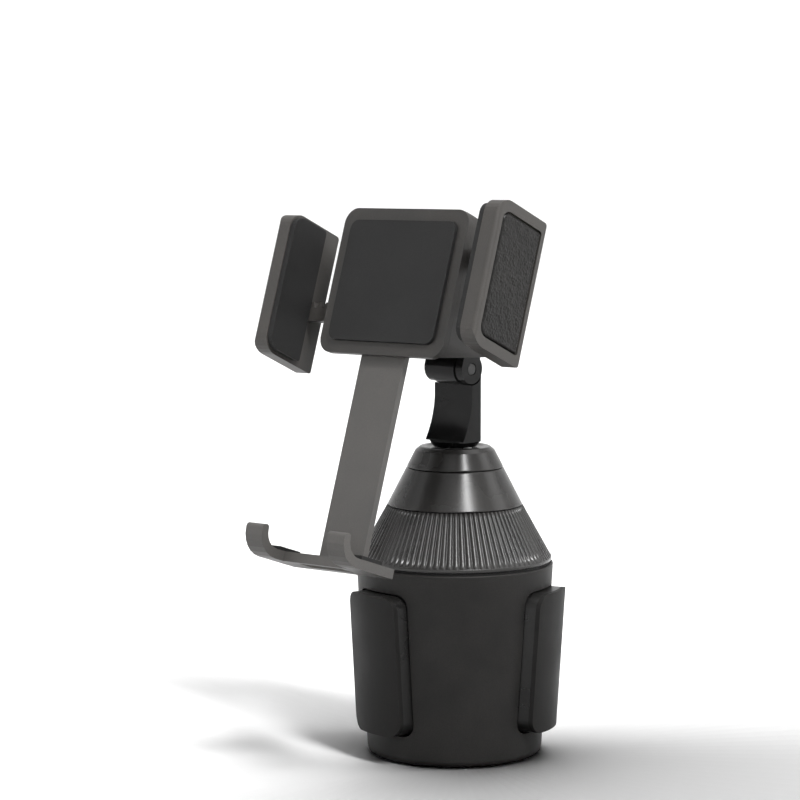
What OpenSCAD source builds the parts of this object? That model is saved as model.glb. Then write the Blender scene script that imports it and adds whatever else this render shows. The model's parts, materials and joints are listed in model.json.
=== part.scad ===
// Cup-holder phone mount: an expanding base, a swivelling neck and a leaned-back cradle.
// The origin is the middle of the base's underside, +Z is up and the cradle faces -Y.

/* [Base] */
// Height of the cup, floor to rim
cup_h = 60.3; // [52:0.5:74]
// Outer radius of the cup at its rim
cup_top_r = 30.7; // [28:0.1:37]
// How much smaller the cup's radius is at the floor
cup_taper = 3.7; // [2:0.1:5]
// Thickness of the cup's wall and floor
cup_wall = 2; // [1.6:0.1:3]
// Rounding between the cup's wall and floor
cup_round = 2.6; // [1:0.1:4]
// Turn of the base under the cradle, in degrees
base_turn = -8.3; // [-60:0.1:60]

/* [Wings] */
// Width of a wing
wing_w = 22.4; // [16:0.2:26]
// Height of a wing's lower edge
wing_bottom = 9.5; // [8:0.5:14]
// Distance from the cup's rim down to a wing's upper edge
wing_drop = 7.1; // [7:0.1:12]
// How far a wing's face stands off the cup at rest
wing_out = 4.6; // [4.6:0.1:6]
// Thickness of the rubber on a wing
wing_skin = 1.3; // [1:0.1:2]
// Corner radius of a wing's face
wing_corner = 4.5; // [2:0.1:6]
// Travel of a wing inwards from rest
wing_in = 3.4; // [1:0.1:3.4]
// Travel of a wing outwards from rest
wing_reach = 7.6; // [3:0.1:8]

/* [Knob and cone] */
// Height of the ribbed knob
knob_h = 16; // [12:0.5:20]
// Radius of the knob at its top
knob_top_r = 21.05; // [18:0.1:24]
// Number of grip grooves round the knob
knob_ribs = 90; // [30:1:100]
// Height of the smooth cone
cone_h = 11.6; // [10:0.1:18]
// Radius of the cone at its top
cone_top_r = 15.1; // [14:0.1:17]
// Height of the swivel collar
collar_h = 6.5; // [5:0.1:9]
// Radius of the collar at its top
collar_top_r = 12.1; // [11:0.1:14]

/* [Neck] */
// Height from the collar's top to the tilt pin
neck_h = 24.4; // [20:0.1:40]
// Width of the neck
neck_w = 16; // [14:0.2:20]
// Thickness of the neck
neck_t = 4.9; // [4:0.1:6]
// Radius of the tilt pin
pin_r = 1.3; // [1:0.1:1.6]

/* [Cradle] */
// Lean of the cradle from upright, in degrees
lean = 18.4; // [10:0.1:30]
// Roll of the cradle on its turntable, in degrees
roll = 1.4; // [-5:0.1:5]
// Width of the phone that the arms hold at rest
phone_w = 75.7; // [68:0.1:80]
// Height of the phone below the turntable's axis
phone_low = 85.4; // [76:0.1:95]
// Thickness of the phone
phone_t = 8.3; // [7:0.1:11]
// Width of the housing
house_w = 52; // [50:0.5:54]
// Height of the housing at its front
house_h = 46; // [44:0.5:50]
// Depth of the housing from the front cover to its rear face
house_d = 28.4; // [28:0.1:32]
// Thickness of the housing's walls
house_wall = 2; // [1.6:0.1:2.4]

/* [Arms and foot] */
// Height of an arm
arm_h = 44.5; // [38:0.5:50]
// Depth of an arm
arm_d = 22; // [21:0.5:24]
// Thickness of an arm with its grip pad
arm_t = 7.7; // [7:0.1:9]
// Height of each arm above or below the turntable's axis
arm_offset = 2.9; // [0:0.1:3.2]
// Travel of each arm inwards from rest
arm_in = 10; // [4:0.5:10]
// Travel of each arm outwards from rest
arm_out = 5.5; // [2:0.5:6]
// Distance between the middles of the foot's hooks
hook_gap = 34.4; // [28:0.2:40]
// Width of a hook at its tip
hook_w = 7.2; // [6:0.1:10]

/* [Hidden] */
$fn = 64;
// clearances
run = 0.05;
gap = 0.3;
slide = 0.2;
eps = 0.01;
// base heights
function cup_r(z) = cup_top_r - cup_taper * (cup_h - z) / cup_h;
wing_top = cup_h - wing_drop;
wing_h = wing_top - wing_bottom;
disc_t = 1.6;
lift = 0.4;
guide_z = wing_top + 0.4;
guide_t = 2;
scroll_z = guide_z + guide_t + 0.4;
scroll_t = 2.6;
knob_z = cup_h + 0.8;
lip_h = 1.2;
lip_r = cup_top_r - 0.5;
knob_top = knob_z + lip_h + knob_h - 0.1;
cone_z = knob_top + 0.2;
cone_top = cone_z + cone_h;
collar_z = cone_top + 0.15;
collar_top = collar_z + collar_h;
post_r = 6;
spindle_r = 4;
inner_r = cup_r(scroll_z) - cup_wall - 0.5;
stand_r = 2.6;
stand_at = inner_r - stand_r - 0.6;
m_screw = 1.25;
head_r = 2.2;
head_h = 1.2;
// wings, in a frame whose X points out of the cup
wing_a = [for (k = [0:2]) base_turn + 30 + 120 * k];
follower_r = 2;
follower_at = 17;
wing_root = 14.2;
scroll_pitch = 0.1;
window_gap = 0.3;
// neck
neck_y = 1.65;
pin_y = -0.9;
pin_z = collar_top + neck_h;
knuckle_r = neck_y + neck_t / 2 - pin_y;
tongue_w = 9.6;
lug_r = 4.6;
neck_screw_x = 5.4;
lug_t = (neck_w - tongue_w) / 2 - slide;
// cradle, in its own frame: X right, Y back from the phone's front, Z up the lean
pin_back = 43.45;
pin_down = 18.3;
pad_t = 1.1;
front_y = phone_t + pad_t;
plate_y = front_y + 2;
rear_y = front_y + house_d;
house_draft = 0.278;
function house_half(y) = house_h / 2 - house_draft * (y - front_y);
strip_y = plate_y + slide;
strip_t = 2.2;
rack_y = strip_y + strip_t + 0.7;
rack_t = 3;
mid_y = rack_y + rack_t + 0.4;
mid_t = 1.8;
mid_half = 17.2;
coil_y = mid_y + mid_t + 0.4;
coil_t = 2;
slider_y = coil_y + coil_t + 0.6;
slider_t = 2;
bracket_y = rear_y + slide;
bracket_t = 4.2;
stub_r = 5;
// rack and pinion
gear_m = 1;
teeth = 14;
pitch_r = gear_m * teeth / 2;
press_a = 20;
addendum = 0.8 * gear_m;
dedendum = 1.05 * gear_m;
backlash = 0.2;
rack_back = 5.2;
notch_step = 1.5;
boss_r = 2.6;
gear_pin_r = 1.5;
hub_r = 4.2;
arm_x = phone_w / 2 + 0.05;
post_x = 15.4;
post_z = 15.4;
cover_x = 20;
// foot
// depth of a grip pad, and how far it stands in from the arm's outline
pad_d = 1.95;
pad_in = 1.2;
foot_base = -phone_low - 1.3;
strip_w = 18;
foot_t = 3;

// ---------------------------------------------------------------- placing
module at_wing(k) {
    rotate([0, 0, wing_a[k]])
        children();
}

// the tilt bracket's frame, which leans but doesn't roll
module in_bracket() {
    translate([0, pin_y, pin_z])
        rotate([-lean, 0, 0])
            translate([0, -pin_back, pin_down])
                children();
}

module in_cradle() {
    in_bracket()
        rotate([0, -roll, 0])
            children();
}

// a cylinder along Y from y0 to y1
module rod_y(r, y0, y1) {
    translate([0, y1, 0])
        rotate([90, 0, 0])
            cylinder(r = r, h = y1 - y0);
}

// a box given by its corners
module block(x, y, z) {
    translate([x[0], y[0], z[0]])
        cube([x[1] - x[0], y[1] - y[0], z[1] - z[0]]);
}

module round_rect(w, h, r) {
    union() {
        square([w, h - 2 * r], center = true);
        square([w - 2 * r, h], center = true);
        for (x = [-1, 1], y = [-1, 1])
            translate([x * (w / 2 - r), y * (h / 2 - r)])
                circle(r = r);
    }
}

module tube(r_out, r_in, h) {
    difference() {
        cylinder(r = r_out, h = h);
        translate([0, 0, -1])
            cylinder(r = r_in, h = h + 2);
    }
}

module screw(length) {
    cylinder(r = m_screw, h = length);
    translate([0, 0, length - eps])
        difference() {
            cylinder(r = head_r, h = head_h);
            translate([0, 0, 0.5])
                cylinder(r = 1.1, h = head_h, $fn = 6);
        }
}

// ---------------------------------------------------------------- base
module cup_outline() {
    // the wall's outline from the floor up, with its lower corner rounded
    r0 = cup_r(0);
    difference() {
        union() {
            polygon([[0, lift + cup_round], [r0 + 0.15, lift + cup_round], [cup_top_r, cup_h], [0, cup_h]]);
            translate([r0 + 0.15 - cup_round, lift + cup_round])
                circle(r = cup_round);
            translate([0, lift])
                square([r0 + 0.15 - cup_round, cup_round + 0.5]);
        }
        translate([-5, -5])
            square([5, cup_h + 10]);
    }
}

module cup_body() {
    color("#2e2e2c")
    difference() {
        union() {
            difference() {
                rotate_extrude()
                    cup_outline();
                translate([0, 0, lift + cup_wall])
                    cylinder(r1 = cup_r(cup_wall) - cup_wall, r2 = cup_top_r - cup_wall, h = cup_h);
                translate([0, 0, -1])
                    cylinder(r = cup_r(0) - cup_round - 2, h = 1 + disc_t);
            }
            rotate([0, 0, base_turn + 90])
                for (k = [0:2])
                    rotate([0, 0, 120 * k])
                        translate([stand_at, 0, cup_wall])
                            cylinder(r = stand_r, h = guide_z - cup_wall);
        }
        for (k = [0:2])
            at_wing(k)
                translate([cup_r(0) - 6, 0, wing_bottom + wing_h / 2])
                    rotate([90, 0, 90])
                        linear_extrude(height = 14)
                            round_rect(wing_w + 2 * window_gap, wing_h + 2 * window_gap, wing_corner);
        rotate([0, 0, base_turn + 90])
            for (k = [0:2])
                rotate([0, 0, 120 * k])
                    translate([stand_at, 0, guide_z - 8])
                        cylinder(r = m_screw + run, h = 10);
    }
}

module foot_disc() {
    color("#1c1c1c")
    rotate_extrude()
        polygon([[0, 0], [cup_r(0) - cup_round - 3.4, 0], [cup_r(0) - cup_round - 2.2, 1],
            [cup_r(0) - cup_round - 2.2, disc_t], [0, disc_t]]);
}

module guide_plate() {
    color("#3a3a3a")
    difference() {
        translate([0, 0, guide_z])
            cylinder(r = cup_r(guide_z) - cup_wall - 0.3, h = guide_t);
        translate([0, 0, guide_z - 1])
            cylinder(r = post_r + run, h = guide_t + 2);
        for (k = [0:2])
            at_wing(k)
                for (x = [follower_at - wing_in - 0.3, follower_at + wing_reach + 0.3])
                    translate([x, 0, guide_z - 1])
                        cylinder(r = follower_r + slide, h = guide_t + 2);
        for (k = [0:2])
            at_wing(k)
                translate([follower_at - wing_in - 0.3, -follower_r - slide, guide_z - 1])
                    cube([wing_in + wing_reach + 0.6, 2 * (follower_r + slide), guide_t + 2]);
        rotate([0, 0, base_turn + 90])
            for (k = [0:2])
                rotate([0, 0, 120 * k])
                    translate([stand_at, 0, guide_z - 1])
                        cylinder(r = m_screw + run, h = guide_t + 2);
        rotate([0, 0, base_turn + 90])
            for (k = [0:2])
                rotate([0, 0, 120 * k])
                    translate([stand_at, 0, guide_z + guide_t - head_h])
                        cylinder(r = head_r + run, h = 3);
    }
}

module guide_screws() {
    color("silver")
    rotate([0, 0, base_turn + 90])
        for (k = [0:2])
            rotate([0, 0, 120 * k])
                translate([stand_at, 0, guide_z - 7 + run])
                    screw(7 + guide_t - head_h);
}

module centre_post() {
    color("#3a3a3a")
    difference() {
        union() {
            translate([0, 0, lift + cup_wall])
                cylinder(r = post_r, h = knob_top - 2 - lift - cup_wall);
            translate([0, 0, lift + cup_wall])
                cylinder(r = 8, h = 4);
            translate([0, 0, knob_top - 2.6])
                cylinder(r = 9.5, h = 2.6 + 0.2);
        }
        translate([0, 0, knob_top - 11])
            cylinder(r = spindle_r + 1.2, h = 20);
        for (k = [0:2])
            rotate([0, 0, 120 * k])
                translate([7.8, 0, knob_top - 4])
                    cylinder(r = 1, h = 6);
    }
}

module slip_ring() {
    color("#151515")
    translate([0, 0, cup_h + run])
        tube(cup_top_r - 1.1, cup_top_r - cup_wall + 0.1, 0.6);
}

module top_cone() {
    color("#373737")
    difference() {
        union() {
            difference() {
                translate([0, 0, cone_z])
                    cylinder(r1 = knob_top_r, r2 = cone_top_r, h = cone_h);
                translate([0, 0, cone_z - 1])
                    cylinder(r1 = knob_top_r - 1.4, r2 = cone_top_r - 2.2, h = cone_h - 1);
            }
            translate([0, 0, cone_z])
                cylinder(r = 9.5, h = cone_h - 1);
        }
        translate([0, 0, cone_z - 1])
            cylinder(r = spindle_r + run, h = cone_h + 2);
        translate([0, 0, cone_z - 1])
            cylinder(r = spindle_r + 1.4, h = 5.4);
        for (k = [0:2])
            rotate([0, 0, 120 * k])
                translate([7.8, 0, cone_z - 1])
                    cylinder(r = 1, h = 6);
    }
}

module cone_screws() {
    color("silver")
    for (k = [0:2])
        rotate([0, 0, 120 * k])
            translate([7.8, 0, knob_top - 3.6])
                cylinder(r = 0.95, h = 8);
}

// the knob's flank leans in by this angle
knob_lean = atan((lip_r - 0.3 - knob_top_r) / knob_h);

module knob() {
    color("#333333")
    difference() {
        union() {
            translate([0, 0, knob_z])
                cylinder(r = lip_r, h = lip_h);
            translate([0, 0, knob_z + lip_h - 0.1])
                cylinder(r1 = lip_r - 0.3, r2 = knob_top_r, h = knob_h);
            translate([0, 0, scroll_z + scroll_t])
                cylinder(r = inner_r, h = knob_z - scroll_z - scroll_t + 1);
        }
        // the hollow under the flank
        translate([0, 0, scroll_z + scroll_t - 1])
            cylinder(r = inner_r - 2.2, h = 4.2);
        translate([0, 0, scroll_z + scroll_t + 3])
            cylinder(r1 = inner_r - 2.2, r2 = knob_top_r - 2.6, h = knob_top - 2.4 - scroll_z - scroll_t - 3);
        // the window for the centre post's head
        translate([0, 0, knob_top - 2.8])
            cylinder(r = 9.5 + gap, h = 5);
        // the grip grooves
        for (k = [0:knob_ribs - 1])
            rotate([0, 0, 360 * k / knob_ribs])
                translate([lip_r - 0.15, 0, knob_z + lip_h + 0.1])
                    rotate([0, -knob_lean, 0])
                        rotate([0, 0, 45])
                            translate([-0.55, -0.55, 0])
                                cube([1.1, 1.1, knob_h * 1.3]);
        for (k = [0:2])
            rotate([0, 0, 120 * k + 60])
                translate([inner_r - 1.3, 0, scroll_z])
                    cylinder(r = 0.8, h = 6);
    }
}

// the spiral that a follower runs in, as a strip of half-width w
function spiral_side(w, from, to, step) = [for (b = [from:step:to + eps])
    let (r = follower_at + scroll_pitch * b + w) [r * cos(b), r * sin(b)]];

module spiral_slot() {
    w = follower_r + slide;
    b0 = -wing_in / scroll_pitch - 1;
    b1 = wing_reach / scroll_pitch + 1;
    outer = spiral_side(w, b0, b1, (b1 - b0) / 28);
    inner = spiral_side(-w, b0, b1, (b1 - b0) / 28);
    polygon(concat(outer, [for (i = [len(inner) - 1:-1:0]) inner[i]]));
    for (b = [b0, b1])
        rotate([0, 0, b])
            translate([follower_at + scroll_pitch * b, 0])
                circle(r = w);
}

module scroll_plate() {
    color("#9a9a9a")
    difference() {
        translate([0, 0, scroll_z])
            cylinder(r = inner_r, h = scroll_t);
        translate([0, 0, scroll_z - 1])
            cylinder(r = post_r + run, h = scroll_t + 2);
        for (k = [0:2])
            at_wing(k)
                translate([0, 0, scroll_z - 1])
                    linear_extrude(height = scroll_t + 2)
                        spiral_slot();
        for (k = [0:2])
            rotate([0, 0, 120 * k + 60])
                translate([inner_r - 1.3, 0, scroll_z - 1])
                    cylinder(r = 0.8, h = scroll_t + 2);
    }
}

module scroll_screws() {
    color("silver")
    for (k = [0:2])
        rotate([0, 0, 120 * k + 60])
            translate([inner_r - 1.3, 0, scroll_z + 0.2])
                cylinder(r = 0.75, h = scroll_t + 2.4);
}

// ---------------------------------------------------------------- wings
// the face of a wing follows the cup's cone, moved out
module wing_face(inset) {
    shift = wing_in;
    proud = wing_out - wing_in;
    translate([shift, 0, 0])
        cylinder(r1 = cup_r(0) + proud - inset, r2 = cup_r(cup_h) + proud - inset, h = cup_h);
}

module wing_bar(from, to) {
    translate([from, 0, wing_bottom + wing_h / 2])
        rotate([90, 0, 90])
            linear_extrude(height = to - from)
                round_rect(wing_w, wing_h, wing_corner);
}

module wing_carrier(k) {
    color("#242424")
    at_wing(k)
        difference() {
            intersection() {
                wing_bar(wing_root, 60);
                wing_face(wing_skin);
            }
            // the hollow behind the face, open to the middle of the cup
            block([wing_root - 1, cup_r(0) + wing_out - wing_skin - 3.4],
                [-wing_w / 2 + 2, wing_w / 2 - 2], [wing_bottom + 2.4, wing_top - 3]);
            translate([follower_at, 0, wing_top - 4])
                cylinder(r = 1.2, h = 8);
        }
}

module wing_pad(k) {
    color("#1e1e1e")
    at_wing(k)
        difference() {
            intersection() {
                wing_bar(wing_root, 60);
                wing_face(0);
            }
            wing_face(wing_skin);
            block([-40, wing_root + 6], [-30, 30], [0, cup_h]);
        }
}

module follower_pin(k) {
    color("silver")
    at_wing(k) {
        translate([follower_at, 0, wing_top + 0.1])
            cylinder(r = follower_r, h = scroll_z + scroll_t - 0.4 - wing_top - 0.1);
        translate([follower_at, 0, wing_top - 3])
            cylinder(r = 1.2, h = 3.2);
    }
}

// ---------------------------------------------------------------- neck
module swivel_collar() {
    edge = 1.2;
    color("#3a3a3a")
    difference() {
        rotate_extrude() {
            polygon([[0, collar_z], [cone_top_r, collar_z], [collar_top_r + 0.35, collar_top - edge],
                [collar_top_r - edge, collar_top], [0, collar_top]]);
            translate([collar_top_r - edge + 0.2, collar_top - edge])
                circle(r = edge);
        }
        translate([0, 0, collar_z - 1])
            cylinder(r = 8 + run, h = 3.2);
        for (x = [-1, 1])
            translate([x * neck_screw_x, 0, collar_z])
                cylinder(r = m_screw + run, h = collar_h + 1);
    }
}

// side outline of the neck: Y across, Z up
module neck_side() {
    y0 = neck_y - neck_t / 2;
    toe = 4;
    toe_h = 15;
    toe_r = (toe * toe + toe_h * toe_h) / 2 / toe;
    foot_z = collar_top + 1.6;
    translate([y0, foot_z])
        square([neck_t + 1, pin_z - foot_z]);
    translate([pin_y, pin_z])
        circle(r = knuckle_r + run);
    difference() {
        translate([y0 - toe, foot_z])
            square([toe + 1, toe_h]);
        translate([y0 - toe_r + 0.1, foot_z + toe_h + 0.6])
            circle(r = toe_r);
    }
}

module neck() {
    color("#101010")
    difference() {
        union() {
            intersection() {
                rotate([90, 0, 90])
                    translate([0, 0, -neck_w / 2])
                        linear_extrude(height = neck_w)
                            neck_side();
                translate([0, -2.95, collar_top - 5])
                    linear_extrude(height = neck_h + 20)
                        round_rect(neck_w, 14.1, 1.4);
            }
            translate([0, 0, collar_top + 0.05])
                cylinder(r1 = 6.9, r2 = 7.9, h = 1.6);
        }
        // room for the bracket's lugs
        for (x = [-1, 1])
            translate([x * (tongue_w + neck_w) / 4 + x * 0.5, pin_y, pin_z])
                rotate([90, 0, 90])
                    cylinder(r = knuckle_r + 2 * run, h = (neck_w - tongue_w) / 2 + 1, center = true);
        for (x = [-1, 1])
            block(x < 0 ? [-neck_w / 2 - 1, -tongue_w / 2] : [tongue_w / 2, neck_w / 2 + 1],
                [pin_y - 12, pin_y + 12], [pin_z, pin_z + 12]);
        translate([0, pin_y, pin_z])
            rotate([0, 90, 0])
                cylinder(r = pin_r + run, h = 40, center = true);
        for (x = [-1, 1])
            translate([x * neck_screw_x, 0, collar_top - 1])
                cylinder(r = m_screw + run, h = 4.6);
    }
}

module neck_spindle() {
    color("silver")
    difference() {
        union() {
            translate([0, 0, cone_z - 2])
                cylinder(r = spindle_r, h = collar_z + 0.6 - cone_z + 2);
            translate([0, 0, collar_z + 0.3])
                cylinder(r = 8, h = 1.8);
        }
        translate([0, 0, cone_z + 0.5])
            tube(spindle_r + 1, spindle_r - 0.8, 1);
        for (x = [-1, 1])
            translate([x * neck_screw_x, 0, collar_z - 1])
                cylinder(r = m_screw + run, h = 6);
    }
}

module spindle_clip() {
    color("#b0b0b0")
    translate([0, 0, cone_z + 0.6])
        tube(spindle_r + 0.9, spindle_r - 0.7, 0.8);
}

module swivel_spring() {
    color("#b0b0b0")
    for (i = [0:2])
        translate([0, 0, cone_z + 1.6 + 0.9 * i])
            tube(spindle_r + 1.1, spindle_r + 0.2, 0.6);
}

module neck_screws() {
    color("silver")
    for (x = [-1, 1])
        translate([x * neck_screw_x, 0, collar_z + 0.8])
            cylinder(r = m_screw, h = collar_h + 2.6);
}

// ---------------------------------------------------------------- tilt bracket
module tilt_bracket() {
    web_low = -pin_down + knuckle_r + 0.6;
    color("#262626")
    in_bracket()
        difference() {
            union() {
                rod_y(13, bracket_y, bracket_y + bracket_t);
                rod_y(stub_r, rear_y - 3.6, bracket_y + 1);
                block([-neck_w / 2, neck_w / 2], [bracket_y, bracket_y + bracket_t], [web_low, 0]);
                for (x = [-neck_w / 2, tongue_w / 2 + slide])
                    translate([x, 0, 0])
                        rotate([90, 0, 90])
                            linear_extrude(height = lug_t) {
                                translate([pin_back, -pin_down])
                                    circle(r = lug_r);
                                polygon([[pin_back - lug_r, -pin_down], [pin_back + lug_r, -pin_down],
                                    [bracket_y + bracket_t, web_low + 6], [bracket_y + 0.5, web_low + 6],
                                    [bracket_y + 0.5, web_low], [pin_back - lug_r, web_low]]);
                            }
            }
            translate([0, pin_back, -pin_down])
                rotate([0, 90, 0])
                    cylinder(r = pin_r + run, h = 40, center = true);
            for (x = [-1, 1])
                translate([x * (neck_w / 2 + 0.5), pin_back, -pin_down])
                    rotate([0, 90, 0])
                        cylinder(r = pin_r + 0.6, h = 2, center = true);
            rod_y(1.5 + run, rear_y - 6, bracket_y + 3);
        }
}

module tilt_pin() {
    color("silver")
    translate([0, pin_y, pin_z])
        rotate([0, 90, 0]) {
            cylinder(r = pin_r, h = neck_w - 0.4, center = true);
            for (x = [-1, 1])
                translate([0, 0, x * (neck_w / 2 - 0.28)])
                    cylinder(r = pin_r + 0.35, h = 0.36, center = true);
        }
}

module turntable_washer() {
    color("silver")
    in_bracket()
        difference() {
            rod_y(9.5, rear_y - house_wall - 0.9, rear_y - house_wall - 0.1);
            rod_y(stub_r + run, rear_y - house_wall - 2, rear_y);
        }
}

module turntable_spring() {
    color("#b0b0b0")
    in_bracket()
        difference() {
            rod_y(8.5, rear_y - house_wall - 1.6, rear_y - house_wall - 1);
            rod_y(stub_r + 0.2, rear_y - house_wall - 3, rear_y);
        }
}

module turntable_screw() {
    color("silver")
    in_bracket()
        difference() {
            union() {
                rod_y(8, rear_y - house_wall - 2.8, rear_y - house_wall - 1.7);
                rod_y(1.5, rear_y - house_wall - 2, bracket_y + 2.6);
            }
            rod_y(1.4, rear_y - house_wall - 4, rear_y - house_wall - 2.2);
        }
}

// ---------------------------------------------------------------- housing
module house_side(inset) {
    y0 = plate_y + 0.05;
    y1 = rear_y - inset;
    c = 2.4;
    polygon([[y0, -house_half(y0) + inset], [y1 - c, -house_half(y1 - c) + inset],
        [y1, -house_half(y1) + inset + c], [y1, house_half(y1) - inset - c],
        [y1 - c, house_half(y1 - c) - inset], [y0, house_half(y0) - inset]]);
}

module house_block(inset) {
    intersection() {
        translate([-house_w / 2 + inset, 0, 0])
            rotate([90, 0, 90])
                linear_extrude(height = house_w - 2 * inset)
                    house_side(inset);
        translate([0, rear_y + 1, 0])
            rotate([90, 0, 0])
                linear_extrude(height = house_d + 2)
                    round_rect(house_w - 2 * inset, house_h - 2 * inset, 5);
    }
}

module rear_cover() {
    color("#34342f")
    in_cradle()
        difference() {
            union() {
                difference() {
                    house_block(0);
                    translate([0, -0.1, 0])
                        house_block(house_wall);
                }
                for (x = [-1, 1])
                    translate([x * cover_x, 0, 0])
                        rod_y(3.2, mid_y + mid_t + 0.6, rear_y - 1);
                // shelves that the return springs stand on
                for (x = [-1, 1])
                    block(x < 0 ? [-house_w / 2 + 1, -5.6] : [5.6, house_w / 2 - 1],
                        [slider_y, slider_y + 2.4], [-1.6, -0.2]);
            }
            rod_y(stub_r + run, rear_y - house_wall - 1, rear_y + 1);
            // slots for the two racks
            block([house_w / 2 - 4, house_w / 2 + 1], [rack_y - gap, rack_y + rack_t + gap],
                [pitch_r - addendum - gap, pitch_r + rack_back + gap]);
            block([-house_w / 2 - 1, -house_w / 2 + 4], [rack_y - gap, rack_y + rack_t + gap],
                [-pitch_r - rack_back - gap, -pitch_r + addendum + gap]);
            // the slot for the foot's strip
            block([-strip_w / 2 - gap, strip_w / 2 + gap], [plate_y - 1, strip_y + strip_t + 0.25],
                [-house_h / 2 - 1, -house_half(strip_y + strip_t) + house_wall + 1]);
            // the slot for the button
            block([-7.2, 7.2], [slider_y - 2.1, slider_y + slider_t + 2.3], [10, house_h]);
            for (x = [-1, 1])
                translate([x * cover_x, 0, 0]) {
                    rod_y(m_screw + run, plate_y, rear_y + 1);
                    rod_y(head_r + 0.1, rear_y - 3, rear_y + 1);
                }
        }
}

module front_cover() {
    color("#2b2b2a")
    in_cradle()
        difference() {
            union() {
                translate([0, plate_y, 0])
                    rotate([90, 0, 0])
                        linear_extrude(height = plate_y - front_y)
                            round_rect(house_w, house_h, 5);
                rod_y(boss_r, plate_y - 0.5, rack_y - 0.15);
                for (x = [-1, 1], z = [-1, 1])
                    translate([x * post_x, 0, z * post_z])
                        rod_y(2.2, plate_y - 0.5, mid_y - 0.02);
                for (x = [-1, 1])
                    translate([x * cover_x, 0, 0])
                        rod_y(2.6, plate_y - 0.5, mid_y + mid_t + 0.3);
            }
            // a shallow pocket for the back pad
            translate([0, front_y + 0.6, 0])
                rotate([90, 0, 0])
                    linear_extrude(height = 2)
                        round_rect(house_w - 7.8, house_h - 7.8, 3);
            rod_y(gear_pin_r + run, plate_y - 0.8, rack_y + 1);
            for (x = [-1, 1], z = [-1, 1])
                translate([x * post_x, 0, z * post_z])
                    rod_y(m_screw + run, plate_y, mid_y + 1);
            for (x = [-1, 1])
                translate([x * cover_x, 0, 0])
                    rod_y(m_screw + run, plate_y, mid_y + mid_t + 1);
        }
}

module back_pad() {
    color("#1b1b1b")
    in_cradle()
        translate([0, front_y + 0.55, 0])
            rotate([90, 0, 0])
                linear_extrude(height = pad_t + 0.45)
                    round_rect(house_w - 8, house_h - 8, 3);
}

module mid_plate() {
    color("#8a8a88")
    in_cradle()
        difference() {
            union() {
                block([-mid_half, mid_half], [mid_y, mid_y + mid_t], [-mid_half, mid_half]);
                translate([10.6, 0, 0])
                    rod_y(1, mid_y + 0.5, coil_y + coil_t);
            }
            rod_y(hub_r + run, mid_y - 1, mid_y + mid_t + 1);
            block([-4.6, 4.6], [mid_y - 1, mid_y + mid_t + 1], [-20, -12.4]);
            for (x = [-1, 1], z = [-1, 1])
                translate([x * post_x, 0, z * post_z])
                    rod_y(m_screw + run, mid_y - 1, mid_y + mid_t + 1);
        }
}

module screw_y(y0, y1) {
    translate([0, y0, 0])
        rotate([-90, 0, 0])
            screw(y1 - y0);
}

module mid_screws() {
    color("silver")
    in_cradle()
        for (x = [-1, 1], z = [-1, 1])
            translate([x * post_x, 0, z * post_z])
                screw_y(plate_y + 1, mid_y + mid_t + 0.02);
}

module cover_screws() {
    color("silver")
    in_cradle()
        for (x = [-1, 1])
            translate([x * cover_x, 0, 0])
                screw_y(plate_y + 1, rear_y - 2.98);
}

// ---------------------------------------------------------------- gears
base_r = pitch_r * cos(press_a);
gear_tip_r = pitch_r + addendum;
// the unwound angle of the involute at radius r, in degrees
function unwound(r) = r <= base_r ? 0 : sqrt(pow(r / base_r, 2) - 1) * 180 / PI - acos(base_r / r);
half_tooth = 90 / teeth - backlash / 2 / pitch_r * 180 / PI / 2;
function flank_a(r) = half_tooth + unwound(pitch_r) - unwound(r);

module pinion_outline() {
    steps = 5;
    rs = [for (i = [0:steps]) base_r + (gear_tip_r - base_r) * i / steps];
    root_r = pitch_r - dedendum;
    polygon([for (t = [0:teeth - 1])
        let (a = 360 * (t + 0.5) / teeth)
            for (p = concat([[root_r, -flank_a(base_r)]], [for (r = rs) [r, -flank_a(r)]],
                [for (i = [steps:-1:0]) [rs[i], flank_a(rs[i])]], [[root_r, flank_a(base_r)]]))
                [p[0] * sin(a + p[1]), p[0] * cos(a + p[1])]]);
}

module pinion() {
    color("#d8d8d0")
    in_cradle()
        difference() {
            union() {
                translate([0, rack_y + rack_t, 0])
                    rotate([90, 0, 0])
                        linear_extrude(height = rack_t)
                            pinion_outline();
                rod_y(hub_r, rack_y + 0.5, coil_y + coil_t);
            }
            rod_y(gear_pin_r + run, rack_y - 1, coil_y + coil_t + 1);
        }
}

module pinion_pin() {
    color("silver")
    in_cradle()
        rod_y(gear_pin_r, plate_y - 0.7, coil_y + coil_t + 0.3);
}

module opening_spring() {
    turns = 2.75;
    r0 = hub_r + 0.35;
    r1 = 9.3;
    t = 0.45;
    n = 66;
    color("#b0b0b0")
    in_cradle()
        translate([0, coil_y + coil_t - 0.1, 0])
            rotate([90, 0, 0])
                linear_extrude(height = coil_t - 0.2)
                    polygon(concat(
                        [for (i = [0:n]) let (a = 360 * turns * i / n, r = r0 + (r1 - r0) * i / n)
                            [r * cos(a), r * sin(a)]],
                        [for (i = [n:-1:0]) let (a = 360 * turns * i / n, r = r0 + (r1 - r0) * i / n + t)
                            [r * cos(a), r * sin(a)]]));
}

// a rack along X whose pitch line is Z = 0 and whose teeth point to -Z
module rack_outline(x0, x1) {
    p = PI * gear_m;
    half = p / 4 - backlash / 4;
    lean_tip = addendum * tan(press_a);
    lean_root = dedendum * tan(press_a);
    n0 = ceil((x0 + p) / p);
    n1 = floor((x1 - p) / p);
    polygon(concat([[x0, rack_back], [x0, dedendum]],
        [for (i = [n0:n1]) for (q = [[-half - lean_root, dedendum], [-half + lean_tip, -addendum],
            [half - lean_tip, -addendum], [half + lean_root, dedendum]]) [i * p + q[0], q[1]]],
        [[x1, dedendum], [x1, rack_back]]));
}

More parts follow.
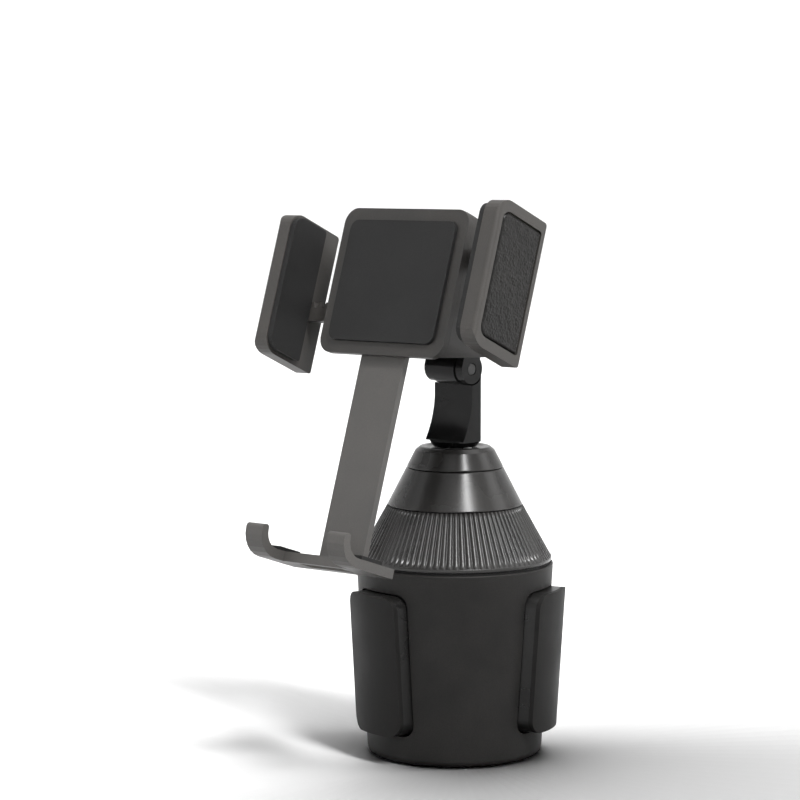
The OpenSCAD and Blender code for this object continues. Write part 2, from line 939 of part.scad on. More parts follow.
// ---------------------------------------------------------------- arms
rake = 7;
front_round = 5;
arm_rim = 1.5;
function arc(c, r, a0, a1) = [for (i = [0:6]) let (a = a0 + (a1 - a0) * i / 6) c + r * [cos(a), sin(a)]];
// outline of an arm seen from the side: Y back, Z up, dropping towards the rear
function arm_side(inset, y0, y1, rf, rr) =
    let (h = arm_h / 2 - inset)
    [for (p = concat(arc([y0 + rf, h - rf], rf, 180, 90), arc([y1 - rr, h - rr], rr, 90, 0),
        arc([y1 - rr, -h + rr], rr, 0, -90), arc([y0 + rf, -h + rf], rf, -90, -180)))
        [p[0], p[1] - p[0] * tan(rake)]];

// things on an arm are drawn for the right arm, whose outer side is +X
module arm_slab(x0, x1, inset, y0, y1, rf, rr) {
    translate([x0, 0, 0])
        rotate([90, 0, 90])
            linear_extrude(height = x1 - x0)
                polygon(arm_side(inset, y0, y1, rf, rr));
}

module arm_shell() {
    x1 = arm_x + arm_t;
    edge = 1.6;
    difference() {
        intersection() {
            arm_slab(arm_x + 2, x1, 0, 0, arm_d, front_round, 1);
            translate([0, 0, -arm_h])
                linear_extrude(height = 2 * arm_h)
                    polygon(concat([[arm_x, 0]], arc([x1 - edge, edge], edge, -90, 0),
                        [[x1, arm_d], [arm_x, arm_d]]));
        }
        arm_slab(x1 - 1, x1 + 1, 3.2, 2.6, arm_d - arm_rim, 3, 1);
    }
}

module arm_right() {
    color("#3e3e39")
    in_cradle() {
        translate([0, 0, arm_offset])
            arm_shell();
        rack_bar();
    }
}

module rack_bar() {
    translate([0, rack_y + rack_t, pitch_r])
        rotate([90, 0, 0])
            linear_extrude(height = rack_t)
                rack_outline(-arm_out - 7.1, arm_x + 3);
}

module arm_left() {
    color("#3e3e39")
    in_cradle() {
        translate([0, 0, -arm_offset])
            mirror([1, 0, 0])
                arm_shell();
        difference() {
            rotate([0, 180, 0])
                rack_bar();
            // ratchet notches under the bar
            for (i = [0:floor((arm_in + arm_out) / notch_step) + 1])
                translate([notch_step * i - 12, rack_y - 1, -pitch_r - rack_back])
                    rotate([0, 45, 0])
                        cube([0.8, rack_t + 2, 0.8]);
        }
    }
}

module side_inset() {
    x1 = arm_x + arm_t;
    arm_slab(x1 - 0.95, x1 + 0.05, 3.4, 2.8, arm_d - arm_rim - 0.2, 2.8, 0.8);
}

module side_inset_right() {
    color("#2c2c28")
    in_cradle()
        translate([0, 0, arm_offset])
            side_inset();
}

module side_inset_left() {
    color("#2c2c28")
    in_cradle()
        translate([0, 0, -arm_offset])
            mirror([1, 0, 0])
                side_inset();
}

module grip_pad() {
    arm_slab(arm_x, arm_x + pad_d, pad_in, gap, rack_y - gap, front_round - 1, 1);
}

module grip_pad_right() {
    color("#1c1c1a")
    in_cradle()
        translate([0, 0, arm_offset])
            grip_pad();
}

module grip_pad_left() {
    color("#1c1c1a")
    in_cradle()
        translate([0, 0, -arm_offset])
            mirror([1, 0, 0])
                grip_pad();
}

// ---------------------------------------------------------------- release
module release_slider() {
    low = -pitch_r - rack_back - 2.2;
    y1 = slider_y + slider_t;
    top = house_half(slider_y) + 2.2;
    color("#242424")
    in_cradle() {
        block([-4.2, 4.2], [slider_y, y1], [low, top - 3]);
        block([-8.6, 8.6], [slider_y, y1], [9, 11]);
        block([-6.8, 6.8], [slider_y - 1.8, y1 + 2], [top - 4.6, top]);
        block([-4.2, 4.2], [rack_y, y1], [low, low + 1.5]);
        translate([0, rack_y + rack_t, low + 1.4])
            rotate([90, 0, 0])
                linear_extrude(height = rack_t)
                    polygon([[-0.7, 0], [0.7, 0], [0, 0.55]]);
    }
}

module release_springs() {
    coils = 7;
    color("#b0b0b0")
    in_cradle()
        for (x = [-1, 1], i = [0:coils - 1])
            translate([x * 7, slider_y + slider_t / 2, 0.15 + (8.6 / coils) * i + 0.3])
                rotate_extrude()
                    translate([1.1, 0])
                        circle(r = 0.3);
}

// ---------------------------------------------------------------- foot
hook_tip = -phone_low + 5;
lip_t = 2.6;
lip_y = -7;
throat_r = 5;
bow_r = throat_r + lip_t;

// a hook from the side: Y back, Z up
module hook_side() {
    y0 = lip_y - lip_t;
    low = foot_base - foot_t;
    polygon(concat(arc([y0 + bow_r, low + bow_r], bow_r, 180, 270), [[12, low], [12, foot_base],
        [lip_y + throat_r, foot_base]],
        arc([lip_y + throat_r, foot_base + throat_r], throat_r, 270, 180),
        arc([lip_y - 1, hook_tip - 1], 1, 0, 90), arc([y0 + 1.4, hook_tip - 1.4], 1.4, 90, 180)));
}

module foot() {
    x1 = (hook_gap + hook_w) / 2;
    low = foot_base - foot_t;
    color("#4a4a46")
    in_cradle()
        difference() {
            union() {
                for (x = [-1, 1])
                    translate([x * hook_gap / 2 - hook_w / 2, 0, 0])
                        rotate([90, 0, 90])
                            linear_extrude(height = hook_w)
                                hook_side();
                block([-x1, x1], [1.5, strip_y + strip_t], [low, foot_base]);
                block([-strip_w / 2, strip_w / 2], [strip_y, strip_y + strip_t], [low, 13.4]);
            }
            // the charging cable's gap
            block([-9, 9], [3.6, 9.6], [low - 1, foot_base + 1]);
            // the slot that the pinion's boss stands in, which stops the travel
            block([-boss_r - gap, boss_r + gap], [strip_y - 1, strip_y + strip_t + 1], [-9, 11]);
            for (i = [0:5])
                translate([strip_w / 2, strip_y - 1, -20 + 3 * i])
                    rotate([-90, 0, 0])
                        cylinder(r = 0.6, h = strip_t + 2);
        }
}

module foot_caps() {
    color("#1c1c1a")
    in_cradle()
        for (x = [-1, 1])
            translate([x * hook_gap / 2, 0, 0])
                block([-hook_w / 2 + 0.6, hook_w / 2 - 0.6], [-0.2, 8.6], [foot_base, -phone_low - 0.1]);
}

module foot_detent() {
    color("#b0b0b0")
    in_cradle()
        translate([strip_w / 2, strip_y + strip_t - 0.2, 0])
            rotate([90, 0, 0])
                linear_extrude(height = strip_t - 0.4)
                    polygon([[1.3, -17], [1.8, -17], [1.2, -9], [0.75, -7.6], [1.2, -6], [1.8, -1], [1.3, -1],
                        [0.7, -6], [0.2, -7.6], [0.7, -9]]);
}

cup_body();
foot_disc();
guide_plate();
guide_screws();
centre_post();
slip_ring();
top_cone();
cone_screws();
knob();
scroll_plate();
scroll_screws();
wing_carrier(0);  // wing_carrier_1
wing_carrier(1);  // wing_carrier_2
wing_carrier(2);  // wing_carrier_3
wing_pad(0);  // wing_pad_1
wing_pad(1);  // wing_pad_2
wing_pad(2);  // wing_pad_3
follower_pin(0);  // follower_pin_1
follower_pin(1);  // follower_pin_2
follower_pin(2);  // follower_pin_3
swivel_collar();
neck();
neck_spindle();
swivel_spring();
spindle_clip();
neck_screws();
tilt_bracket();
tilt_pin();
rear_cover();
front_cover();
back_pad();
mid_plate();
mid_screws();
cover_screws();
turntable_washer();
turntable_spring();
turntable_screw();
pinion();
pinion_pin();
opening_spring();
arm_right();
arm_left();
side_inset_right();
side_inset_left();
grip_pad_right();
grip_pad_left();
release_slider();
release_springs();
foot();
foot_caps();
foot_detent();
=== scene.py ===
"""A cup-holder phone mount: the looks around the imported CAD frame. Every length is in metres."""

import json
import math

import bmesh
import bpy
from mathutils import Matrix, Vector, noise


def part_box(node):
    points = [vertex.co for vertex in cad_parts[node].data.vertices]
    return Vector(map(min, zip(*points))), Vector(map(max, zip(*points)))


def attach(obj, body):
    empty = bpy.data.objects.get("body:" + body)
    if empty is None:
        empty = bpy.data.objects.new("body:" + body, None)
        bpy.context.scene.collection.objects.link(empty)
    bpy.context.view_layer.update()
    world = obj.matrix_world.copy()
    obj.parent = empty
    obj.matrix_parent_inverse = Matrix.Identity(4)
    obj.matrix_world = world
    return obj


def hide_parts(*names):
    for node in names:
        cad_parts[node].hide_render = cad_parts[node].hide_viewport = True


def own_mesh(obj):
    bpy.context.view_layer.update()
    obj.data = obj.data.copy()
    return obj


MM = 0.001
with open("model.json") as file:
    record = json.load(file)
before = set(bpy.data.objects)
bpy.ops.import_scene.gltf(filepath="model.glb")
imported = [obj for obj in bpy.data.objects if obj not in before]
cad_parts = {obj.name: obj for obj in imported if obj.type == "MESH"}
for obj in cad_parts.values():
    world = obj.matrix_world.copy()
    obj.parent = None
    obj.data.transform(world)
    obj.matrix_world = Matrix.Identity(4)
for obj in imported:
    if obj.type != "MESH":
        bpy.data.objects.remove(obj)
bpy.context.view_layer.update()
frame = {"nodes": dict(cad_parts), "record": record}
record = frame["record"]
nodes = frame["nodes"]
joints = {j["name"]: j for j in record["behaviour"]["joints"]}
slot_of = {p["node"]: p["material_slot"] for p in record["subparts"]}
body_of = {n: body for body, names in record["behaviour"]["bodies"].items() for n in names}


# ---------------------------------------------------------------- materials
def new_material(name):
    """An empty material and the tools to fill it: (material, node maker, link maker, shader)."""
    material = bpy.data.materials.new(name)
    material.use_nodes = True
    tree = material.node_tree
    shader = tree.nodes["Principled BSDF"]
    return material, tree.nodes.new, tree.links.new, shader


def noise_of(node, link, coordinates, size, detail=3.0, stretch=None):
    """Noise whose blotches are `size` metres across, optionally stretched along an axis."""
    source = coordinates
    if stretch:
        mapping = node("ShaderNodeMapping")
        mapping.inputs["Scale"].default_value = stretch
        link(coordinates, mapping.inputs["Vector"])
        source = mapping.outputs["Vector"]
    texture = node("ShaderNodeTexNoise")
    texture.inputs["Scale"].default_value = 1 / size
    texture.inputs["Detail"].default_value = detail
    link(source, texture.inputs["Vector"])
    return texture.outputs["Fac"]


def surface(name, dark, light, rough, grain=0.35 * MM, depth=0.010 * MM, metal=0.0, coat=0.0,
            smudge=14 * MM, stretch=None, sheen=0.28):
    """A moulded or metal surface: fine grain in the relief, broad handling marks in gloss and tint."""
    material, node, link, shader = new_material(name)
    where = node("ShaderNodeTexCoord").outputs["Object"]
    marks = noise_of(node, link, where, smudge, 4.0, stretch)
    fine = noise_of(node, link, where, grain, 2.0, stretch)
    tint = node("ShaderNodeMix")
    tint.data_type = "RGBA"
    tint.inputs["A"].default_value = (*dark, 1)
    tint.inputs["B"].default_value = (*light, 1)
    blend = node("ShaderNodeMath")
    blend.operation = "MULTIPLY"
    link(marks, blend.inputs[0])
    link(fine, blend.inputs[1])
    spread = node("ShaderNodeMapRange")
    spread.inputs["From Min"].default_value = 0.12
    spread.inputs["From Max"].default_value = 0.40
    link(blend.outputs[0], spread.inputs["Value"])
    link(spread.outputs["Result"], tint.inputs["Factor"])
    link(tint.outputs["Result"], shader.inputs["Base Color"])
    gloss = node("ShaderNodeMapRange")
    gloss.inputs["From Min"].default_value = 0.3
    gloss.inputs["From Max"].default_value = 0.7
    gloss.inputs["To Min"].default_value = rough[0]
    gloss.inputs["To Max"].default_value = rough[1]
    link(marks, gloss.inputs["Value"])
    link(gloss.outputs["Result"], shader.inputs["Roughness"])
    bump = node("ShaderNodeBump")
    bump.inputs["Strength"].default_value = 1.0
    bump.inputs["Distance"].default_value = depth
    link(fine, bump.inputs["Height"])
    link(bump.outputs["Normal"], shader.inputs["Normal"])
    shader.inputs["Metallic"].default_value = metal
    shader.inputs["Specular IOR Level"].default_value = sheen
    shader.inputs["Coat Weight"].default_value = coat
    shader.inputs["Coat Roughness"].default_value = 0.12
    return material


def grey(value, warm=0.0):
    """A grey of that brightness; warm adds a little red and takes a little blue."""
    return (value * (1 + warm), value, value * (1 - warm))


MATERIALS = {
    "cup": surface("cup", grey(0.009, 0.03), grey(0.015, 0.05), (0.46, 0.58), depth=0.008 * MM,
                   sheen=0.16),
    "wing": surface("wing", grey(0.005, 0.02), grey(0.009, 0.03), (0.24, 0.34), depth=0.004 * MM,
                    sheen=0.28),
    "wing_rubber": surface("wing_rubber", grey(0.005, 0.03), grey(0.009, 0.05), (0.46, 0.60),
                           grain=0.25 * MM, sheen=0.15),
    "knob": surface("knob", grey(0.014, 0.02), grey(0.021, 0.04), (0.24, 0.34), depth=0.004 * MM,
                    sheen=0.36),
    "cone": surface("cone", grey(0.014, 0.03), grey(0.020, 0.05), (0.22, 0.30), depth=0.004 * MM,
                    sheen=0.28),
    "neck": surface("neck", grey(0.003), grey(0.005), (0.14, 0.24), depth=0.002 * MM, sheen=0.12),
    "housing": surface("housing", grey(0.018, 0.05), grey(0.026, 0.08), (0.42, 0.55)),
    "arm": surface("arm", grey(0.028, 0.06), grey(0.038, 0.09), (0.42, 0.54), depth=0.006 * MM),
    "inset": surface("inset", grey(0.005, 0.04), grey(0.011, 0.07), (0.27, 0.38), sheen=0.15,
                     grain=0.22 * MM, depth=0.02 * MM),
    "foot": surface("foot", grey(0.045, 0.04), grey(0.058, 0.06), (0.34, 0.46), depth=0.005 * MM),
    "rubber": surface("rubber", grey(0.008), grey(0.013), (0.60, 0.75), grain=0.3 * MM,
                      depth=0.02 * MM, sheen=0.2),
    "inner_plastic": surface("inner_plastic", grey(0.10), grey(0.13), (0.45, 0.6)),
    "gear": surface("gear", grey(0.62, 0.02), grey(0.70, 0.03), (0.34, 0.46), depth=0.003 * MM),
    "black_pin": surface("black_pin", grey(0.012), grey(0.020), (0.25, 0.35), depth=0.003 * MM),
    "steel": surface("steel", grey(0.42), grey(0.52), (0.24, 0.36), metal=1.0, depth=0.004 * MM,
                     stretch=(1, 1, 12), sheen=0.5),
}


# ---------------------------------------------------------------- mesh tools
def soften(obj, width, segments=3, angle=38):
    """Rounds the sharp edges of a piece and evens out its shading."""
    for face in obj.data.polygons:
        face.use_smooth = True
    flat = obj.modifiers.new("flat faces", "DECIMATE")
    flat.decimate_type = "DISSOLVE"
    flat.angle_limit = math.radians(0.6)
    bevel = obj.modifiers.new("edges", "BEVEL")
    bevel.width = width
    bevel.segments = segments
    bevel.limit_method = "ANGLE"
    bevel.angle_limit = math.radians(angle)
    normals = obj.modifiers.new("shading", "WEIGHTED_NORMAL")
    normals.keep_sharp = True
    return obj


def add_piece(name, bm, body, slot, *replaced):
    """Turns a bmesh into a piece that rides on a body and stands for CAD nodes."""
    bmesh.ops.recalc_face_normals(bm, faces=bm.faces)
    mesh = bpy.data.meshes.new(name)
    bm.to_mesh(mesh)
    bm.free()
    for face in mesh.polygons:
        face.use_smooth = True
    piece = bpy.data.objects.new(name, mesh)
    bpy.context.scene.collection.objects.link(piece)
    mesh.materials.append(MATERIALS[slot])
    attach(piece, body)
    if replaced:
        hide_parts(*replaced)
    return piece


def rounded(corners, steps=5):
    """A closed outline from (r, z, radius) corners, each rounded by its radius."""
    outline = []
    count = len(corners)
    for i, (x, z, radius) in enumerate(corners):
        here = Vector((x, z))
        if radius == 0:
            outline.append(here)
            continue
        back = Vector(corners[i - 1][:2]) - here
        ahead = Vector(corners[(i + 1) % count][:2]) - here
        half = back.angle(ahead) / 2
        reach = min(radius / math.tan(half), 0.45 * back.length, 0.45 * ahead.length)
        start, end = here + back.normalized() * reach, here + ahead.normalized() * reach
        for s in range(steps + 1):
            t = s / steps
            outline.append(start * (1 - t) ** 2 + here * 2 * t * (1 - t) + end * t ** 2)
    return outline


def lathe(outline, segments, ripple=None):
    """A closed outline of (r, z) turned about the Z axis. ripple(r, z, turn) moves a point outwards."""
    bm = bmesh.new()
    rings = []
    for s in range(segments):
        turn = s / segments
        angle = 2 * math.pi * turn
        ring = []
        for r, z in outline:
            out = r + (ripple(r, z, turn) if ripple else 0)
            ring.append(bm.verts.new((out * math.cos(angle), out * math.sin(angle), z)))
        rings.append(ring)
    count = len(outline)
    for s in range(segments):
        a, b = rings[s], rings[(s + 1) % segments]
        for i in range(count):
            k = (i + 1) % count
            bm.faces.new((a[i], b[i], b[k], a[k]))
    return bm


def prism(outline, start, end, place):
    """A closed outline of (u, v) pushed from start to end along w; place(u, v, w) gives the point."""
    bm = bmesh.new()
    near = [bm.verts.new(place(u, v, start)) for u, v in outline]
    far = [bm.verts.new(place(u, v, end)) for u, v in outline]
    bm.faces.new(near)
    bm.faces.new(far)
    count = len(outline)
    for i in range(count):
        k = (i + 1) % count
        bm.faces.new((near[i], near[k], far[k], far[i]))
    return bm


def cut(piece, cutters):
    """Takes the cutters' volumes out of a piece for good."""
    for cutter in cutters:
        bool_mod = piece.modifiers.new("cut", "BOOLEAN")
        bool_mod.operation = "DIFFERENCE"
        bool_mod.solver = "EXACT"
        bool_mod.object = cutter
    graph = bpy.context.evaluated_depsgraph_get()
    shape = bpy.data.meshes.new_from_object(piece.evaluated_get(graph))
    piece.modifiers.clear()
    piece.data = shape
    for cutter in cutters:
        bpy.data.objects.remove(cutter)


# ---------------------------------------------------------------- base
CUP_TAPER = 3.7 * MM
CUP_WALL = 2.0 * MM
WINDOW_GAP = 0.45 * MM
WING_W = 22.4 * MM
WING_CORNER = 4.5 * MM

cup_low, cup_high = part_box("cup_body")
rim_r, rim_z, floor_z = cup_high.x, cup_high.z, cup_low.z
disc_low, disc_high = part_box("foot_disc")
recess_r, recess_z = disc_high.x + 0.25 * MM, disc_high.z
foot_r = rim_r - CUP_TAPER + 0.15 * MM


def build_cup():
    outline = rounded([
        (recess_r, floor_z, 0),
        (foot_r, floor_z, 3.0 * MM),
        (rim_r, rim_z, 0.5 * MM),
        (rim_r - CUP_WALL, rim_z, 0.4 * MM),
        (foot_r - CUP_WALL, floor_z + CUP_WALL, 1.0 * MM),
        (0.5 * MM, floor_z + CUP_WALL, 0),
        (0.5 * MM, recess_z, 0),
        (recess_r, recess_z, 0),
    ], 8)
    cup = add_piece("cup_shell", lathe(outline, 192), "base", "cup", "cup_body")
    cutters = []
    for k in (1, 2, 3):
        axis = Vector(joints[f"wing_{k}_slide"]["axis"])
        side = Vector((-axis.y, axis.x, 0))
        low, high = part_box(f"wing_carrier_{k}")
        half_w = WING_W / 2 + WINDOW_GAP
        z0, z1 = low.z - WINDOW_GAP, high.z + WINDOW_GAP
        window = rounded([(-half_w, z0, WING_CORNER), (half_w, z0, WING_CORNER),
                          (half_w, z1, WING_CORNER), (-half_w, z1, WING_CORNER)], 8)

        def place(u, v, w):
            return axis * w + side * u + Vector((0, 0, v))

        bm = prism(window, 18 * MM, 45 * MM, place)
        bmesh.ops.recalc_face_normals(bm, faces=bm.faces)
        mesh = bpy.data.meshes.new("window")
        bm.to_mesh(mesh)
        bm.free()
        cutter = bpy.data.objects.new("window", mesh)
        bpy.context.scene.collection.objects.link(cutter)
        cutters.append(cutter)
    cut(cup, cutters)
    soften(cup, 0.35 * MM, 2, 50)


build_cup()

knob_low, knob_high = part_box("knob")
cone_low, cone_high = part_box("top_cone")
scroll_low, scroll_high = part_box("scroll_plate")
LIP_H = 1.2 * MM
RIBS = 90
RIB_SAMPLES = 10
GROOVE = 0.80 * MM
HEAD_R = 9.8 * MM
lip_r = knob_high.x
flank_low, flank_r = knob_low.z, cone_high.x


def build_knob():
    lip_z = scroll_high.z + (61.1 - 58.6) * MM
    bore = scroll_high.x
    flank_z = lip_z + LIP_H
    foot = lip_r - 0.3 * MM
    outline = rounded([
        (HEAD_R, knob_high.z, 0),
        (HEAD_R, knob_high.z - 2.4 * MM, 0),
        (flank_r - 2.6 * MM, knob_high.z - 2.4 * MM, 0),
        (bore - 2.2 * MM, scroll_high.z + 3 * MM, 0),
        (bore - 2.2 * MM, scroll_high.z, 0),
        (bore, scroll_high.z, 0),
        (bore, lip_z, 0),
        (lip_r, lip_z, 0.35 * MM),
        (lip_r, flank_z - 0.1 * MM, 0.3 * MM),
    ], 3)
    steps = 12
    for s in range(steps + 1):
        t = s / steps
        outline.append(Vector((foot + (flank_r - foot) * t, flank_z + (knob_high.z - flank_z) * t)))
    outline.append(Vector((flank_r - 0.9 * MM, knob_high.z)))

    def ripple(r, z, turn):
        on_flank = z >= flank_z - 1e-7 and r >= flank_r - 1e-7
        if not on_flank:
            return 0
        phase = (turn * RIBS) % 1
        off = min(phase, 1 - phase)
        start = min(1, (z - flank_z) / (0.5 * MM))
        crown = 0.10 * MM * (1 - (2 * abs(phase - 0.5)) ** 2)
        return crown - GROOVE * start * math.exp(-(off / 0.20) ** 2)

    knob = add_piece("knob_grip", lathe(outline, RIBS * RIB_SAMPLES, ripple), "knob", "knob", "knob")
    for face in knob.data.polygons:
        face.use_smooth = abs(face.normal.z) < 0.9


def build_cone():
    z0, z1 = cone_low.z, cone_high.z
    r0 = cone_high.x
    outline = rounded([
        (r0, z0, 0.3 * MM),
        (CONE_TOP_R, z1, 0.7 * MM),
        (4.05 * MM, z1, 0),
        (4.05 * MM, z0 + 4.4 * MM, 0),
        (5.4 * MM, z0 + 4.4 * MM, 0),
        (5.4 * MM, z0, 0),
        (9.5 * MM, z0, 0),
        (9.5 * MM, z1 - 1.6 * MM, 0),
        (CONE_TOP_R - 2 * MM, z1 - 1.6 * MM, 0),
        (r0 - 1.4 * MM, z0, 0),
    ])
    cone = add_piece("cone_shell", lathe(outline, 160), "base", "cone", "top_cone")
    soften(cone, 0.05 * MM, 1, 60)


def build_collar():
    low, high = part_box("swivel_collar")
    top = high.z
    outline = rounded([
        (high.x, low.z, 0.35 * MM),
        (high.x - 2.75 * MM, top - 1.2 * MM, 0.9 * MM),
        (high.x - 4.2 * MM, top, 1.2 * MM),
        (9.2 * MM, top, 0.4 * MM),
        (8.2 * MM, top - 0.35 * MM, 0.3 * MM),
        (0.6 * MM, top - 0.35 * MM, 0),
        (0.6 * MM, low.z + 2.2 * MM, 0),
        (8.05 * MM, low.z + 2.2 * MM, 0),
        (8.05 * MM, low.z, 0),
    ])
    collar = add_piece("collar_shell", lathe(outline, 160), "neck", "cone", "swivel_collar")
    soften(collar, 0.05 * MM, 1, 60)


CONE_TOP_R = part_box("swivel_collar")[1].x
build_knob()
build_cone()
build_collar()


# ---------------------------------------------------------------- cradle
across = Vector(joints["arm_right_slide"]["axis"])
back = Vector(joints["cradle_turn"]["axis"])
up = -Vector(joints["release_press"]["axis"])
TURN_DEPTH = 36 * MM
centre = Vector(joints["cradle_turn"]["pos_m"]) - back * TURN_DEPTH


def in_cradle(x, y, z):
    """A point of the cradle's own frame, which is right, back and up the lean, in the row frame."""
    return centre + across * x + back * y + up * z


ARM_FACE = 45.6 * MM
ARM_SHIFT = 2.9 * MM
RAKE = math.tan(math.radians(7))
INSET_HALF = 18.6 * MM
INSET_FRONT = 3.0 * MM
INSET_BACK = 20.1 * MM
INSET_ROUND = 2.6 * MM
GRID = 0.24 * MM
PEBBLE = 0.80 * MM
PEBBLE_RISE = 0.24 * MM


def keep_inside(y, z):
    """Pulls a point of the inset's rectangle back to its rounded front corners."""
    corner_y = INSET_FRONT + INSET_ROUND
    corner_z = INSET_HALF - INSET_ROUND
    if y < corner_y and abs(z) > corner_z:
        dy, dz = y - corner_y, abs(z) - corner_z
        far = math.hypot(dy, dz)
        if far > INSET_ROUND:
            y = corner_y + dy * INSET_ROUND / far
            z = math.copysign(corner_z + dz * INSET_ROUND / far, z)
    return y, z


def edge_distance(y, z):
    """How far a point of the inset is from its outline."""
    corner_y = INSET_FRONT + INSET_ROUND
    corner_z = INSET_HALF - INSET_ROUND
    if y < corner_y and abs(z) > corner_z:
        return INSET_ROUND - math.hypot(y - corner_y, abs(z) - corner_z)
    return min(y - INSET_FRONT, INSET_BACK - y, INSET_HALF - abs(z))


def pebbles(y, z):
    """Height of the leather-like grain."""
    where = Vector((y / PEBBLE, z / PEBBLE, 0.0))
    warp = noise.noise_vector(where * 0.7) * 0.25
    distances = noise.voronoi(where + warp)[0]
    cell = min(1.0, (distances[1] - distances[0]) / 0.4)
    return PEBBLE_RISE * cell * (2 - cell) * (0.75 + 0.5 * noise.noise(where * 0.35))


def build_inset(side, name, node, body, shift):
    rows = int(2 * INSET_HALF / GRID)
    columns = int((INSET_BACK - INSET_FRONT) / GRID)
    bm = bmesh.new()
    sheet = []
    for i in range(columns + 1):
        line = []
        for j in range(rows + 1):
            y = INSET_FRONT + (INSET_BACK - INSET_FRONT) * i / columns
            z = -INSET_HALF + 2 * INSET_HALF * j / rows
            y, z = keep_inside(y, z)
            far = max(0.0, edge_distance(y, z))
            rise = min(1.0, far / (0.55 * MM))
            rise = math.sin(rise * math.pi / 2)
            x = ARM_FACE - 0.45 * MM * (1 - rise) - 0.12 * MM + pebbles(y, z) * rise
            line.append(bm.verts.new(in_cradle(side * x, y, z - y * RAKE + shift)))
        sheet.append(line)
    for i in range(columns):
        for j in range(rows):
            bm.faces.new((sheet[i][j], sheet[i][j + 1], sheet[i + 1][j + 1], sheet[i + 1][j]))
    rim = ([sheet[i][0] for i in range(columns)] + [sheet[columns][j] for j in range(rows)]
           + [sheet[i][rows] for i in range(columns, 0, -1)] + [sheet[0][j] for j in range(rows, 0, -1)])
    under = [bm.verts.new(v.co - across * side * 0.45 * MM) for v in rim]
    count = len(rim)
    for i in range(count):
        k = (i + 1) % count
        bm.faces.new((rim[i], under[i], under[k], rim[k]))
    bm.faces.new(under)
    add_piece(name, bm, body, "inset", node)


build_inset(1, "grain_right", "side_inset_right", "arm_right", ARM_SHIFT)
build_inset(-1, "grain_left", "side_inset_left", "arm_left", -ARM_SHIFT)


SPRING_X = 7.0 * MM
SPRING_Y = 23.7 * MM
SPRING_LOW = 0.2 * MM
SPRING_LENGTH = 8.6 * MM
SPRING_TURNS = 7
SPRING_R = 1.1 * MM
WIRE_R = 0.28 * MM


def build_release_springs():
    """The two coil springs under the release slider, built at their rest length; the mesh does not shorten
    as the slider is pressed.
    """
    bm = bmesh.new()
    around, along = 8, 24 * SPRING_TURNS
    for side in (-1, 1):
        rings = []
        for i in range(along + 1):
            angle = 2 * math.pi * SPRING_TURNS * i / along
            rise = SPRING_LOW + WIRE_R + (SPRING_LENGTH - 2 * WIRE_R) * i / along
            ring = []
            for k in range(around):
                turn = 2 * math.pi * k / around
                reach = SPRING_R + WIRE_R * math.cos(turn)
                ring.append(bm.verts.new(in_cradle(
                    side * SPRING_X + reach * math.cos(angle), SPRING_Y + reach * math.sin(angle),
                    rise + WIRE_R * math.sin(turn))))
            rings.append(ring)
        for a, b in zip(rings, rings[1:]):
            for k in range(around):
                n = (k + 1) % around
                bm.faces.new((a[k], a[n], b[n], b[k]))
        bm.faces.new(rings[0])
        bm.faces.new(rings[-1])
    springs = add_piece("release_coils", bm, "cradle", "steel", "release_springs")
    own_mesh(springs)


build_release_springs()


# ---------------------------------------------------------------- CAD nodes that stay
EDGES = {
    "wing_carrier_1": 0.5, "wing_carrier_2": 0.5, "wing_carrier_3": 0.5,
    "wing_pad_1": 0.4, "wing_pad_2": 0.4, "wing_pad_3": 0.4,
    "neck": 0.6, "tilt_bracket": 0.5, "tilt_pin": 0.1,
    "rear_cover": 0.6, "front_cover": 0.4, "back_pad": 0.5,
    "arm_right": 0.45, "arm_left": 0.45, "grip_pad_right": 0.4, "grip_pad_left": 0.4,
    "foot": 0.45, "foot_caps": 0.25, "release_slider": 0.3, "foot_disc": 0.2,
}
for name, obj in nodes.items():
    material = MATERIALS[slot_of[name]]
    if not obj.data.materials:
        obj.data.materials.append(material)
    for held in obj.material_slots:
        held.material = material
    if name in EDGES:
        soften(obj, EDGES[name] * MM)


# ---------------------------------------------------------------- stage, camera and light
COVE_R = 3.6
COVE_BEND = 1.6
COVE_H = 2.4


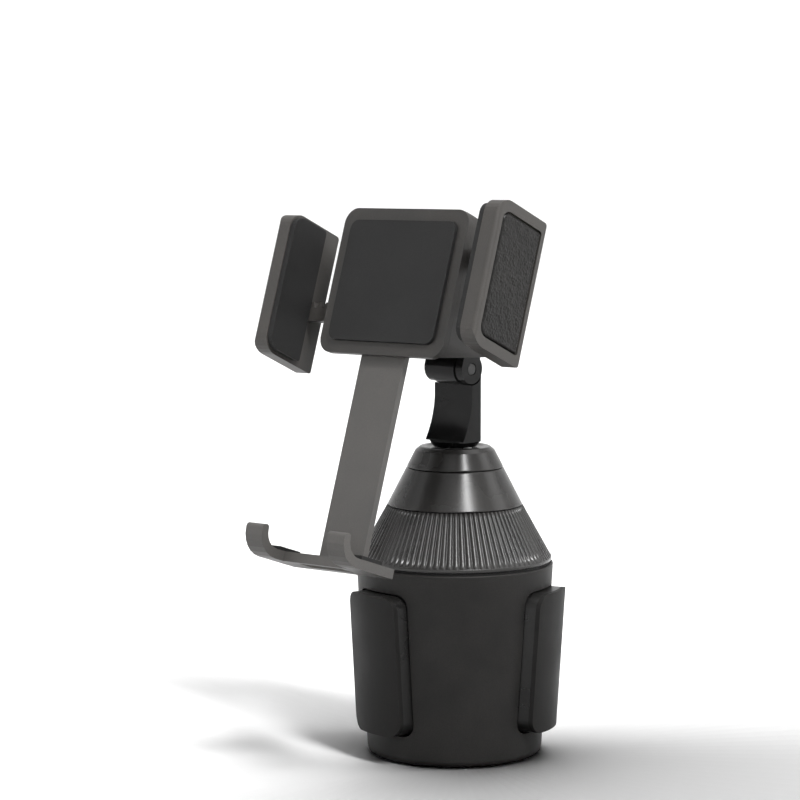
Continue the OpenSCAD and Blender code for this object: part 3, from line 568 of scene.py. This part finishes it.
def build_floor():
    material, node, link, shader = new_material("floor")
    where = node("ShaderNodeTexCoord").outputs["Object"]
    soft = noise_of(node, link, where, 0.4, 2.0)
    tint = node("ShaderNodeMix")
    tint.data_type = "RGBA"
    tint.inputs["A"].default_value = (0.86, 0.86, 0.86, 1)
    tint.inputs["B"].default_value = (0.90, 0.90, 0.90, 1)
    link(soft, tint.inputs["Factor"])
    link(tint.outputs["Result"], shader.inputs["Base Color"])
    shader.inputs["Roughness"].default_value = 0.8
    outline = [Vector((0.001, 0)), Vector((COVE_R - COVE_BEND, 0))]
    for step in range(1, 13):
        a = math.pi / 2 * step / 12
        outline.append(Vector((COVE_R - COVE_BEND + COVE_BEND * math.sin(a), COVE_BEND * (1 - math.cos(a)))))
    outline.append(Vector((COVE_R, COVE_H)))
    thick = [Vector((p.x + 0.02, p.y - 0.02)) for p in reversed(outline)]
    bm = lathe(outline + thick, 96)
    bmesh.ops.recalc_face_normals(bm, faces=bm.faces)
    mesh = bpy.data.meshes.new("floor")
    bm.to_mesh(mesh)
    bm.free()
    for face in mesh.polygons:
        face.use_smooth = True
    floor = bpy.data.objects.new("floor", mesh)
    bpy.context.scene.collection.objects.link(floor)
    mesh.materials.append(material)


def add_light(name, place, target, width, height, power):
    light = bpy.data.lights.new(name, "AREA")
    light.shape = "RECTANGLE"
    light.size, light.size_y, light.energy = width, height, power
    lamp = bpy.data.objects.new(name, light)
    lamp.location = place
    lamp.rotation_euler = (Vector(target) - Vector(place)).to_track_quat("-Z", "Y").to_euler()
    bpy.context.scene.collection.objects.link(lamp)


CAMERA_PLACE = Vector((0.6875, -0.7315, 0.2200))
CAMERA_LOOK = Vector((-0.6931, 0.7127, -0.1081))
middle = Vector((0, 0, 0.09))

camera_data = bpy.data.cameras.new("camera")
camera_data.sensor_width = 36
camera_data.lens = 146.2
camera = bpy.data.objects.new("camera", camera_data)
camera.location = CAMERA_PLACE
camera.rotation_euler = CAMERA_LOOK.to_track_quat("-Z", "Y").to_euler()
bpy.context.scene.collection.objects.link(camera)
bpy.context.scene.camera = camera

build_floor()
toward = (CAMERA_PLACE - middle).normalized()
left = Vector((0, 0, 1)).cross(toward).normalized() * -1
level = Vector((toward.x, toward.y, 0)).normalized()
STRIP_RISE = math.radians(49)
STRIP_TURN = math.radians(28)
STRIP_FAR = 1.5
aside = level * math.cos(STRIP_TURN) - left * math.sin(STRIP_TURN)
strip_place = middle + (aside * math.cos(STRIP_RISE) + Vector((0, 0, math.sin(STRIP_RISE)))) * STRIP_FAR
add_light("front strip", strip_place, middle, 0.22, 0.6, 30)
add_light("left box", middle + level * 0.2 + left * 1.6 + Vector((0, 0, 0.5)), middle, 0.5, 1.2, 1.5)
add_light("right box", middle - level * 0.1 - left * 1.5 + Vector((0, 0, 0.5)), middle, 0.6, 1.2, 6)
add_light("top box", middle + Vector((0, 0, 2.2)), middle, 3.4, 3.4, 56)

world = bpy.data.worlds.new("world")
world.use_nodes = True
background = world.node_tree.nodes["Background"]
background.inputs["Color"].default_value = (1, 1, 1, 1)
background.inputs["Strength"].default_value = 0.72
bpy.context.scene.world = world
bpy.context.scene.view_settings.view_transform = "Standard"
